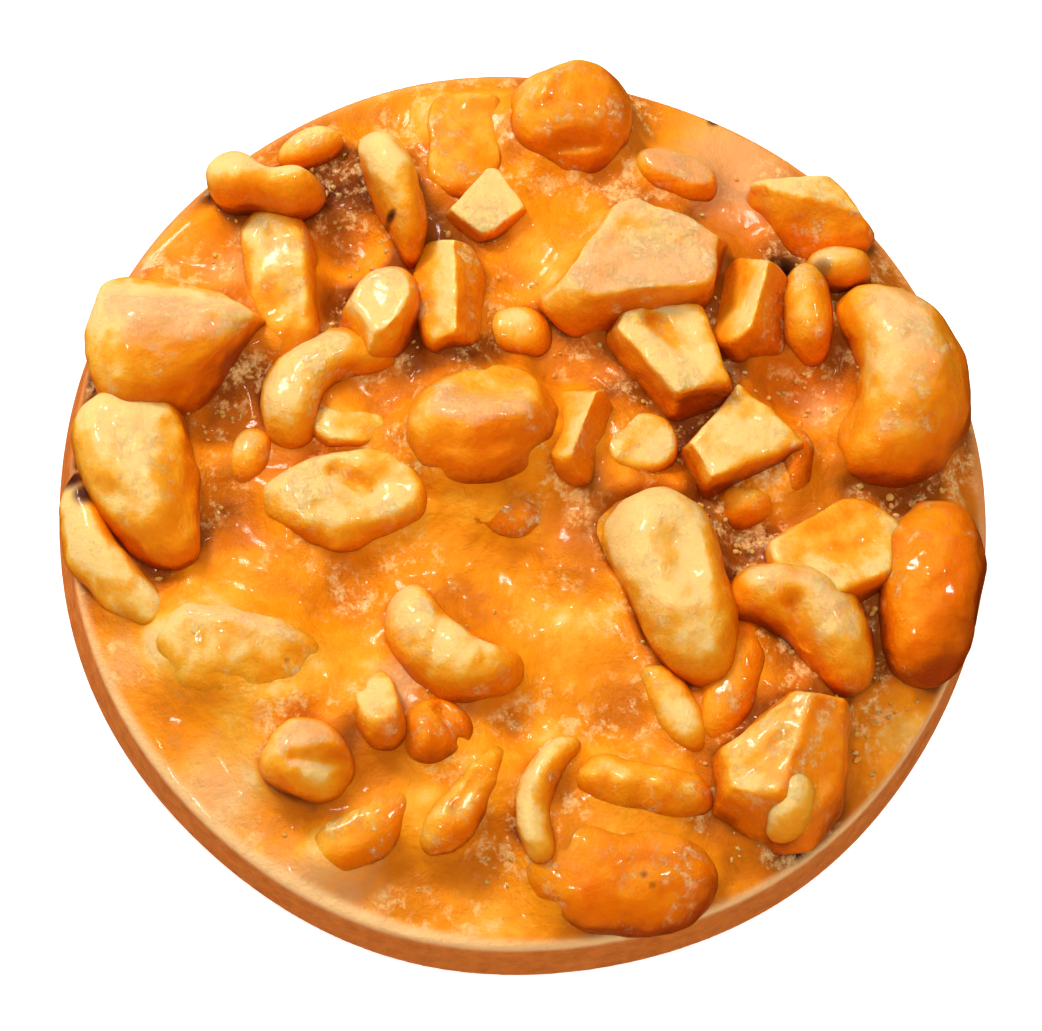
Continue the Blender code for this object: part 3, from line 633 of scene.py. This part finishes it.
def blurred(field, spread):
    """A Gaussian blur, spread in millimetres."""
    span = int(3.0 * spread / CELL) + 1
    weights = np.exp(-0.5 * (np.arange(-span, span + 1) * CELL / spread) ** 2)
    weights /= weights.sum()
    padded = np.pad(field, span, mode="edge")
    across = sum(w * padded[:, i:i + CELLS] for i, w in enumerate(weights))
    return sum(w * across[i:i + CELLS, :] for i, w in enumerate(weights))


def closed(field, radius):
    """Fill every crease that a ball of this radius can't reach into."""
    span = int(radius / CELL)
    cells = [(i, j, math.sqrt(max(0.0, radius ** 2 - (i * i + j * j) * CELL ** 2)))
             for i in range(-span, span + 1) for j in range(-span, span + 1)
             if (i * i + j * j) * CELL ** 2 <= radius ** 2]
    wide = field
    for i, j, lift in cells:
        wide = np.maximum(wide, shifted(field, i, j) + lift)
    narrow = wide
    for i, j, lift in cells:
        narrow = np.minimum(narrow, shifted(wide, -i, -j) - lift)
    return narrow


skyline = np.maximum(bed, tops)
slopes = np.clip(pooled(np.dstack((map_x, map_y)), SLOPES), 0.0, 1.0)
bridged = blurred(closed(skyline, BALL_RADIUS), 0.3)
bridged += slopes * (blurred(closed(skyline, WIDE_BALL_RADIUS), 0.9) - bridged)
fill = np.maximum(bridged - bed, 0.0)
creep = blurred(reach, 0.8) + 2.2 * slopes + 0.9 * np.array(
    [[noise.noise(Vector((x, y, 40.0)) / 3.0) for x in steps] for y in steps])
spill = (fill - creep) / 0.45
fill = fill + 0.16 - 0.45 * np.logaddexp(0.0, spill)
fill *= 1.0 - np.clip((np.hypot(map_x, map_y) - LIP_RADIUS + 2.8) / 2.0, 0.0, 1.0)
poured = blurred(bed + fill, 0.25)
for x, y, radius, depth in CAVITIES:
    poured -= depth * np.exp(-(((map_x - x) ** 2 + (map_y - y) ** 2) / radius ** 2) ** 2)
ground = np.where(tops > bed, bed, poured)
# How far the pour lies below the blurred tops of the nuts round it. It darkens hollows and the
# feet of tall nuts, partly for deeper caramel and partly as painted shade, less beside well coated
# nuts; it also gathers sugar bloom and crumbs.
beside_coated = np.clip((blurred(reach, 1.2) - 1.6) / 1.0, 0.0, 1.0)
hollow_map = np.clip((blurred(skyline, 3.2) - poured + 0.2) / 2.6, 0.0, 1.3)
hollow_map *= 1.0 - 0.65 * beside_coated
print("caramel stands from", round(float(bed.min()), 1), "to", round(float(poured.max()), 1), "mm")


def read_map(field, places):
    """Bilinear reading of a map at places in millimetres."""
    u = np.clip((places[:, 0] + HALF_MAP) / CELL, 0, CELLS - 1.001)
    v = np.clip((places[:, 1] + HALF_MAP) / CELL, 0, CELLS - 1.001)
    i, j = v.astype(int), u.astype(int)
    fv, fu = v - i, u - j
    low = field[i, j] * (1 - fu) + field[i, j + 1] * fu
    high = field[i + 1, j] * (1 - fu) + field[i + 1, j + 1] * fu
    return low * (1 - fv) + high * fv


# %% [markdown]
# The disc itself is a turned shape: half of its section, spun once round. The
# lip is a crisp pressed edge, the side leans in a little, and the foot is
# rounded where it sat in its ring. Its top then takes the poured heights.

# %% Turn the disc and pour its top
DISC_SIDES = 256
DISC_PITCH = 0.34     # in millimetres
HAND_ANGLE = -2.25    # where a hand pressed the wall out, in radians


def disc_form():
    """The caramel disc at its full fineness, in metres."""
    section = [(0.0, LIP_HEIGHT), (LIP_RADIUS - 0.7, LIP_HEIGHT - 0.05),
               (LIP_RADIUS - 0.25, LIP_HEIGHT - 0.2), (LIP_RADIUS, LIP_HEIGHT - 0.6),
               (FOOT_RADIUS - 0.4, 3.4), (FOOT_RADIUS, 0.8), (FOOT_RADIUS - 0.15, 0.3),
               (FOOT_RADIUS - 0.5, 0.0), (0.0, 0.0)]
    bm = bmesh.new()
    corners = [bm.verts.new((r, 0.0, z)) for r, z in section]
    edges = [bm.edges.new(pair) for pair in zip(corners, corners[1:])]
    bmesh.ops.spin(bm, geom=corners + edges, cent=(0, 0, 0), axis=(0, 0, 1),
                   angle=math.tau, steps=DISC_SIDES, use_merge=True)
    bmesh.ops.remove_doubles(bm, verts=bm.verts[:], dist=0.001)
    bmesh.ops.recalc_face_normals(bm, faces=bm.faces[:])
    bmesh.ops.scale(bm, vec=(MM, MM, MM), verts=bm.verts[:])
    bmesh.ops.triangulate(bm, faces=bm.faces[:])
    return even_net(bm, DISC_PITCH * MM)


disc = disc_form()
places = vertex_places(disc)
radii = np.hypot(places[:, 0], places[:, 1])
heights = read_map(poured, places)
crest = np.clip((radii - (LIP_RADIUS - 1.4)) / 1.4, 0.0, 1.0)
for vert, place, radius, height, near_lip in zip(disc.verts, places, radii, heights, crest):
    x, y, z = place
    if z > 4.0:
        share = min(1.0, (z - 4.0) / (LIP_HEIGHT - 4.3))
        top = height * (1.0 - near_lip) + LIP_HEIGHT * near_lip
        z += (top - LIP_HEIGHT) * share
    swell = 1.0
    if radius > 40.0:
        angle = math.atan2(y, x)
        pressed = 0.6 * math.exp(-((angle - HAND_ANGLE) / 0.5) ** 2) * max(0.0, min(1.0, z / 7.0))
        swell = (radius + float(outline_swell(angle)) + pressed) / radius
    vert.co = (x * swell * MM, y * swell * MM, z * MM)
soften(disc, 1)
print("faces on the disc:", len(disc.faces))

# %% [markdown]
# The finishes need to know where on the patty a point lies: down in a hollow,
# on a nut's pale top, or on the side wall. Each answer is worked out once and
# stored on the mesh as an attribute, one number for each vertex, so that the
# shaders only have to blend colours.

# %% Write pieces with their attributes
def shown(name, bm, material, attributes):
    """Turn a shaped bmesh into an object in the scene."""
    mesh = bpy.data.meshes.new(name)
    bm.to_mesh(mesh)
    bm.free()
    for key, values in attributes.items():
        layer = mesh.attributes.new(key, "FLOAT", "POINT")
        layer.data.foreach_set("value", np.asarray(values, np.float32))
    mesh.materials.append(material)
    mesh.shade_smooth()
    return placed(name, mesh)


def write_piece(name, bm, attributes, material, node):
    """A finished piece that stands for a node."""
    piece = shown(name, bm, material, attributes)
    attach(piece, "root")
    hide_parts(node)


# %% [markdown]
# The shaders are sums of masks. Written as nodes they would be long, so a small
# class lets one output be added to or multiplied by another as plain numbers
# are, and each such step adds its Math node by itself.

# %% Shader arithmetic
SHINE = 0.16


class Reading:
    """One socket of a node tree that takes part in sums."""

    def __init__(self, tree, socket):
        self.tree = tree
        self.socket = socket

    def sum_with(self, operation, first, second):
        """One Math node; each side is a reading or a number."""
        step = self.tree.nodes.new("ShaderNodeMath")
        step.operation = operation
        for slot_number, value in enumerate((first, second)):
            if isinstance(value, Reading):
                self.tree.links.new(value.socket, step.inputs[slot_number])
            else:
                step.inputs[slot_number].default_value = value
        return Reading(self.tree, step.outputs[0])

    def __add__(self, other):
        return self.sum_with("ADD", self, other)

    __radd__ = __add__

    def __sub__(self, other):
        return self.sum_with("SUBTRACT", self, other)

    def __rsub__(self, other):
        return self.sum_with("SUBTRACT", other, self)

    def __mul__(self, other):
        return self.sum_with("MULTIPLY", self, other)

    def eased(self, low, high):
        """From 0 at low to 1 at high, with soft ends."""
        step = self.tree.nodes.new("ShaderNodeMapRange")
        step.interpolation_type = "SMOOTHSTEP"
        self.tree.links.new(self.socket, step.inputs["Value"])
        step.inputs["From Min"].default_value = low
        step.inputs["From Max"].default_value = high
        return Reading(self.tree, step.outputs["Result"])


class Finish:
    """A material whose nodes are added one call at a time."""

    def __init__(self, name):
        self.material = bpy.data.materials.new(name)
        self.material.use_nodes = True
        self.tree = self.material.node_tree
        self.shader = self.tree.nodes["Principled BSDF"]
        self.place = self.node("ShaderNodeTexCoord", {}, {}, "Object")

    def node(self, kind, settings, sockets, output=0):
        """Add a node: its settings first, then its sockets, and read one output."""
        made = self.tree.nodes.new(kind)
        for key, value in settings.items():
            setattr(made, key, value)
        for key, value in sockets.items():
            self.feed(made.inputs[key], value)
        return Reading(self.tree, made.outputs[output])

    def feed(self, socket, value):
        """Link a reading to a socket, or set its value."""
        if isinstance(value, Reading):
            self.tree.links.new(value.socket, socket)
        else:
            socket.default_value = value

    def noise(self, size, detail=2.0, rough=0.5, shift=0.0):
        """Smooth noise whose features are about this many millimetres wide."""
        return self.node("ShaderNodeTexNoise", {"noise_dimensions": "4D"},
                         {"Vector": self.place, "Scale": 1.0 / (size * MM), "Detail": detail,
                          "Roughness": rough, "W": shift}, "Fac")

    def cells(self, size):
        """Distance to the nearest of scattered points, this many millimetres apart."""
        return self.node("ShaderNodeTexVoronoi", {},
                         {"Vector": self.place, "Scale": 1.0 / (size * MM)}, "Distance")

    def stored(self, name):
        """An attribute that was worked out for the mesh."""
        return self.node("ShaderNodeAttribute", {"attribute_name": name}, {}, "Fac")

    def blend(self, share, low, high):
        """Mix two colours by a share from 0 to 1; 6 and 7 are the Mix node's colours."""
        return self.node("ShaderNodeMix", {"data_type": "RGBA"}, {0: share, 6: low, 7: high}, 2)

    def bump(self, height, distance, strength=1.0, onto=None):
        """Fine relief; distance is in millimetres."""
        sockets = {"Height": height, "Distance": distance * MM, "Strength": strength}
        if onto is not None:
            sockets["Normal"] = onto
        return self.node("ShaderNodeBump", {}, sockets, "Normal")

    def finish(self, **sockets):
        """Set the Principled shader's own sockets."""
        self.shader.inputs["Specular IOR Level"].default_value = SHINE
        for key, value in sockets.items():
            self.feed(self.shader.inputs[key.replace("_", " ")], value)
        return self.material


def paint(red, green, blue):
    """A colour as it looks on a screen, 0 to 255, made linear for the shader."""
    def linear(level):
        level /= 255.0
        return level / 12.92 if level <= 0.04045 else ((level + 0.055) / 1.055) ** 2.4
    return (linear(red), linear(green), linear(blue), 1.0)


# %% [markdown]
# One scale of colour serves both finishes: cream where the nut is bare, then gold,
# amber and orange as the caramel on it gets thicker and as painted shade deepens,
# and a burnt brown where it lies deep and in the deepest painted shade of the
# creases. A nut's foot and the pool it stands in so take the same colour.

# %% Colour by thickness of caramel and by painted shade
def caramel_scale(finish, thick_and_shade, rich, burnt_and_shade):
    """Cream at 0, amber at about 0.5, the rich colour at 0.9 and burnt brown past 1.3; the upper
    colours also serve as painted shade.
    """
    colour = finish.blend(thick_and_shade.eased(0.02, 0.30), paint(255, 211, 138), paint(253, 179, 56))
    for low, high, deeper in ((0.22, 0.52, paint(250, 154, 20)), (0.48, 0.90, rich),
                              (0.88, 1.50, burnt_and_shade), (1.50, 2.60, paint(104, 38, 4))):
        colour = finish.blend(thick_and_shade.eased(low, high), colour, deeper)
    return colour


def sugar_bloom(finish, zones):
    """Pale blotches of bloomed sugar, gathered where the zones lie."""
    blotches = finish.noise(1.7, 8.0, 0.72, 15.0).eased(0.49, 0.60)
    grains = finish.noise(0.32, 2.0, 0.5, 17.0).eased(0.30, 0.62)
    return zones * blotches * (grains * 0.6 + 0.4)


# %% [markdown]
# Butter caramel is tan and a little cloudy near its surface; a painted reflection
# of the back light lies as a pale cloud on the back rim. Where it lies thick
# between the nuts it is deeper and browner, partly as painted shade, and there
# the sugar has bloomed into pale grainy patches. The side wall was pressed, so
# it is browner and duller, with a pale line at the lip and pinholes where air was
# trapped.

# %% Caramel finish
def caramel_finish():
    cover = Finish("butter caramel")
    hollow = cover.stored("hollow")
    wall = cover.stored("wall")
    crest = cover.stored("crest")
    foot = cover.stored("foot")
    cloud = cover.noise(8.5, 3.0)
    mottle = cover.noise(2.2, 4.0, 0.6, 3.0)
    grain = cover.noise(0.7, 4.0, 0.75, 7.0)
    thick_and_shade = cover.stored("thick_and_shade") + (cloud - 0.5) * 1.2 + (mottle - 0.5) * 0.55
    top = caramel_scale(cover, thick_and_shade, paint(216, 122, 16), paint(158, 84, 16))
    top = cover.blend((mottle * 0.6 + cloud * 0.4).eased(0.50, 0.66) * 0.25, top,
                      paint(232, 148, 50))
    zones = (cover.noise(6.5, 2.0, 0.5, 31.0) + hollow * 0.08).eased(0.47, 0.60)
    bloom = sugar_bloom(cover, zones)
    # cloudy films of set butter, and on the back rim a painted reflection
    top = cover.blend((cover.stored("film_and_sheen") + (mottle - 0.5) * 0.7).eased(0.25, 0.85) * 0.75, top,
                      paint(238, 176, 120))
    top = cover.blend(bloom * 0.85, top, paint(252, 208, 142))
    side = cover.blend(cover.noise(1.6, 4.0, 0.65, 11.0).eased(0.3, 0.7),
                       paint(204, 108, 22), paint(224, 128, 42))
    side = cover.blend(foot * grain.eased(0.5, 0.66), side, paint(240, 200, 160))
    colour = cover.blend(wall, top, side)
    colour = cover.blend(crest * 0.9, colour, paint(255, 206, 146))
    colour = cover.blend(cover.stored("dark_mark"), colour, paint(52, 20, 10))
    pinholes = cover.cells(1.7).eased(0.05, 0.12)
    relief = cover.bump(mottle, 0.6, 0.9)
    relief = cover.bump(grain * (0.7 + zones * 0.8 + wall * 0.4), 0.18, 0.9, relief)
    relief = cover.bump(pinholes, 0.10, 0.4, relief)
    return cover.finish(Base_Color=colour, Roughness=0.34 + bloom * 0.4 + wall * 0.26,
                        Subsurface_Weight=0.15, Subsurface_Radius=(1.0, 0.45, 0.12),
                        Subsurface_Scale=0.9 * MM, Coat_Weight=(1.0 - wall) * (1.0 - bloom) * 0.2,
                        Coat_Roughness=0.10, Normal=relief)


# %% [markdown]
# A cashew's own flesh is cream to pale gold and dry, with a fine waxy grain. The
# caramel runs off its upper faces and stays on its flanks, so each nut goes from
# cream at the top through amber to a deep orange foot where it meets the pool.
# The flanks and the side turned from the window are darkened further as painted
# shade, and faces turned up and back carry a painted pink sheen.

# %% Cashew finish
def cashew_finish(name, gloss):
    kernel = Finish(name)
    blush_and_sheen = kernel.stored("blush_and_sheen")
    up = kernel.stored("up")
    cloud = kernel.noise(4.5, 3.0, 0.5, 1.0)
    mottle = kernel.noise(1.4, 4.0, 0.62, 5.0)
    grain = kernel.noise(0.38, 3.0, 0.7, 9.0)
    thick_and_shade = kernel.stored("thick_and_shade") + (cloud - 0.5) * 0.85 + (mottle - 0.5) * 0.5
    colour = caramel_scale(kernel, thick_and_shade, paint(238, 124, 0), paint(176, 72, 0))
    # pale pink where the nut faces up and back: cloudy set caramel and a painted sheen
    colour = kernel.blend((blush_and_sheen + (mottle - 0.5) * 0.8).eased(0.25, 0.85) * 0.7, colour,
                          paint(247, 181, 130))
    zones = (kernel.noise(4.5, 2.0, 0.5, 21.0) + blush_and_sheen * 0.24).eased(0.50, 0.64)
    flecks = sugar_bloom(kernel, zones * up.eased(0.1, 0.7))
    colour = kernel.blend(flecks * 0.7, colour, paint(255, 218, 160))
    colour = kernel.blend(kernel.stored("dark_mark"), colour, paint(84, 34, 24))
    dry = 1.0 - thick_and_shade.eased(0.1, 0.6)
    relief = kernel.bump(mottle, 0.32, 0.8)
    relief = kernel.bump(grain + flecks * 0.6, 0.18, 0.9, relief)
    return kernel.finish(Base_Color=colour, Roughness=gloss + dry * 0.16 + flecks * 0.2,
                         Subsurface_Weight=0.5, Subsurface_Radius=(1.0, 0.42, 0.10),
                         Subsurface_Scale=2.0 * MM, Coat_Weight=0.45 - dry * 0.2,
                         Coat_Roughness=0.10, Normal=relief)


caramel = caramel_finish()
glazed = cashew_finish("glazed cashew", 0.28)
pale = cashew_finish("bare cashew", 0.34)
print("finishes ready:", caramel.name, "|", glazed.name, "|", pale.name)

# %% [markdown]
# The disc and the nuts are now written as pieces. How thick the caramel is at
# each point, together with the painted shade that darkens it, adds up from where
# it hangs, how deep the point lies, which way it faces and what the tables above
# say of that place.

# %% Set the disc
# the way faces turned from the window point; such faces are painted darker and more orange as
# painted shade, and faces turned to it paler
SHADED_SIDE = np.array((0.62, -0.62, 0.0))
# how much pale pink is painted on the upper, back-facing side of some nuts: partly cloudy set
# caramel, partly a painted sheen of the lights
BLUSH_AND_SHEEN = {"dome_middle": 1.1, "cone_left": 1.1, "slab_upper": 1.0, "kernel_lower_left": 0.6,
         "nut_right": 0.3, "whole_right": 0.7, "cap_nut": 0.9, "curl_tail": 0.6,
         "chips_rim": 0.8, "tooth": 0.6, "chunk_lower": 0.5}


def unit_normals(bm):
    """Every vertex normal, as rows."""
    bm.normal_update()
    return np.array([vert.normal for vert in bm.verts])


places = vertex_places(disc)
facing = unit_normals(disc)
radii = np.hypot(places[:, 0], places[:, 1])
side = (ease(0.35, 0.75, np.hypot(facing[:, 0], facing[:, 1])) * (radii > LIP_RADIUS - 1.5)
        * (1.0 - ease(LIP_HEIGHT - 0.4, LIP_HEIGHT + 0.1, places[:, 2])))
lip = (np.exp(-(np.minimum(places[:, 2] - LIP_HEIGHT + 0.30, 0.0) / 0.45) ** 2)
       * ease(LIP_RADIUS - 1.0, LIP_RADIUS - 0.2, radii)
       * (0.25 + 0.75 * ease(-10.0, 25.0, -places[:, 1])))
# The pour is painted darker down in hollows and creases between nuts, partly for deeper caramel
# and partly as painted shade; it is darker on faces turned from the window and paler on faces
# turned to it, as painted shade and light.
hollow = read_map(hollow_map, places) * (1.0 - side)
depth = np.clip(read_map(bridged, places) - places[:, 2], 0.0, 6.0)
write_piece("caramel_pour", disc, {
    "hollow": hollow,
    "thick_and_shade": (0.44 + hollow * 0.46 + depth * 0.34 + facing @ SHADED_SIDE * 0.35
              + pooled(places, TINTS_AND_PAINTED_LIGHT) * (1.0 - side)),
    "film_and_sheen": np.clip(pooled(places, FILMS_AND_SHEEN), 0.0, 1.0) * (1.0 - side),
    "dark_mark": dark_mark_share(places, DARK_MARKS["caramel_disc"]),
    "wall": side,
    "crest": lip,
    "foot": (places[:, 2] < 0.9) * side,
}, caramel, "caramel_disc")
print("deepest hollow on the pour, as a share:", round(float(hollow.max()), 2))

# %% Set the nuts
for name, form in nut_forms.items():
    places = vertex_places(form)
    facing = unit_normals(form)
    coat = COATING[name]
    top = places[:, 2].max()
    depth = np.clip(read_map(bridged, places) - places[:, 2] - 0.2, 0.0, 7.0)
    lift = places[:, 2] - read_map(ground, places)
    above = np.clip(lift / np.maximum(top - 9.0, 2.0), 0.0, 1.2)
    lean = facing @ SHADED_SIDE
    # A nut is painted deeper on its flanks and in creases, partly for the caramel that stays there
    # and partly as painted shade; it is darker on faces turned from the window and paler on faces
    # turned to it, painted shade and light.
    thick_and_shade = (coat * 0.5 + (1.0 - facing[:, 2]) * 0.32 + (1.0 - ease(0.1, 1.0, above)) * 0.36
             + depth * 0.24 + np.sign(lean) * np.abs(lean) ** 0.75 * 0.46
             - broken_shares[name] * 0.10 * (1.2 - coat) - 0.04
             - pooled(places, BARE.get(name, ())))
    # the pink share is a painted sheen: it grows where a face turns up and back towards the
    # lights, near the nut's top
    blush_and_sheen = ease(0.45, 0.9, facing[:, 2] * 0.8 + facing[:, 1] * 0.35) * ease(0.4, 0.9, above)
    finish, slot = (pale, "bare_cashew") if NUTS[name][3] else (glazed, "glazed_cashew")
    write_piece("nut_" + name, form, {
        "thick_and_shade": thick_and_shade, "blush_and_sheen": blush_and_sheen * BLUSH_AND_SHEEN.get(name, 0.35), "up": facing[:, 2],
        "dark_mark": dark_mark_share(places, DARK_MARKS.get(name, ())),
    }, finish, name)
print("nuts set:", len(nut_forms))

# %% [markdown]
# Chopping nuts leaves crumbs and the sugar throws a few coarse grains. They lie
# in the hollows of the pour, half sunk in it.

# %% Crumbs
def strew_crumbs(amount):
    """Small uneven grains set in the caramel, as one mesh, in metres."""
    draw = random.Random(58)
    grains = bmesh.new()
    count = 0
    while count < amount:
        x, y = draw.uniform(-43, 43), draw.uniform(-43, 43)
        column, row = int((x + HALF_MAP) / CELL), int((y + HALF_MAP) / CELL)
        if math.hypot(x, y) > 42.6 or tops[row, column] > poured[row, column]:
            continue
        if draw.random() > 1.2 * hollow_map[row, column] - 0.35:
            continue
        size = draw.uniform(0.14, 0.30) * (1.3 if draw.random() < 0.1 else 1.0)
        made = bmesh.ops.create_icosphere(grains, subdivisions=2, radius=size * MM)
        spin = Matrix.Rotation(draw.uniform(0, math.tau), 3, Vector(
            (draw.uniform(-1, 1), draw.uniform(-1, 1), draw.uniform(-1, 1))).normalized())
        stretch = (draw.uniform(0.8, 1.7), draw.uniform(0.7, 1.2), draw.uniform(0.6, 1.0))
        centre = Vector((x, y, float(poured[row, column]))) * MM
        for vert in made["verts"]:
            bump = 1.0 + 0.25 * noise.noise(vert.co * 3200.0 + centre * 900.0)
            shaped = Vector([c * s * bump for c, s in zip(vert.co, stretch)])
            vert.co = centre + spin @ shaped
        count += 1
    return grains


crumbs = strew_crumbs(170)
print("faces on the crumbs:", len(crumbs.faces))
even = np.ones(len(crumbs.verts))
crumb_piece = shown("crumbs", crumbs, pale, {"thick_and_shade": even * 0.30, "blush_and_sheen": even * 0.6,
                                             "up": even, "dark_mark": even * 0.0})
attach(crumb_piece, "root")

# %% [markdown]
# The floor is one broad pale sheet, only there to catch a faint shadow.

# %% Floor
sheet = bmesh.new()
bmesh.ops.create_grid(sheet, x_segments=2, y_segments=2, size=1.6)
bmesh.ops.translate(sheet, vec=(0, 0, -0.1 * MM), verts=sheet.verts[:])
paper = Finish("white paper").finish(Base_Color=(0.72, 0.72, 0.72, 1.0), Roughness=0.9,
                                     Emission_Color=(1.0, 1.0, 1.0, 1.0), Emission_Strength=0.62)
floor = shown("studio_floor", sheet, paper, {})
floor.visible_glossy = False
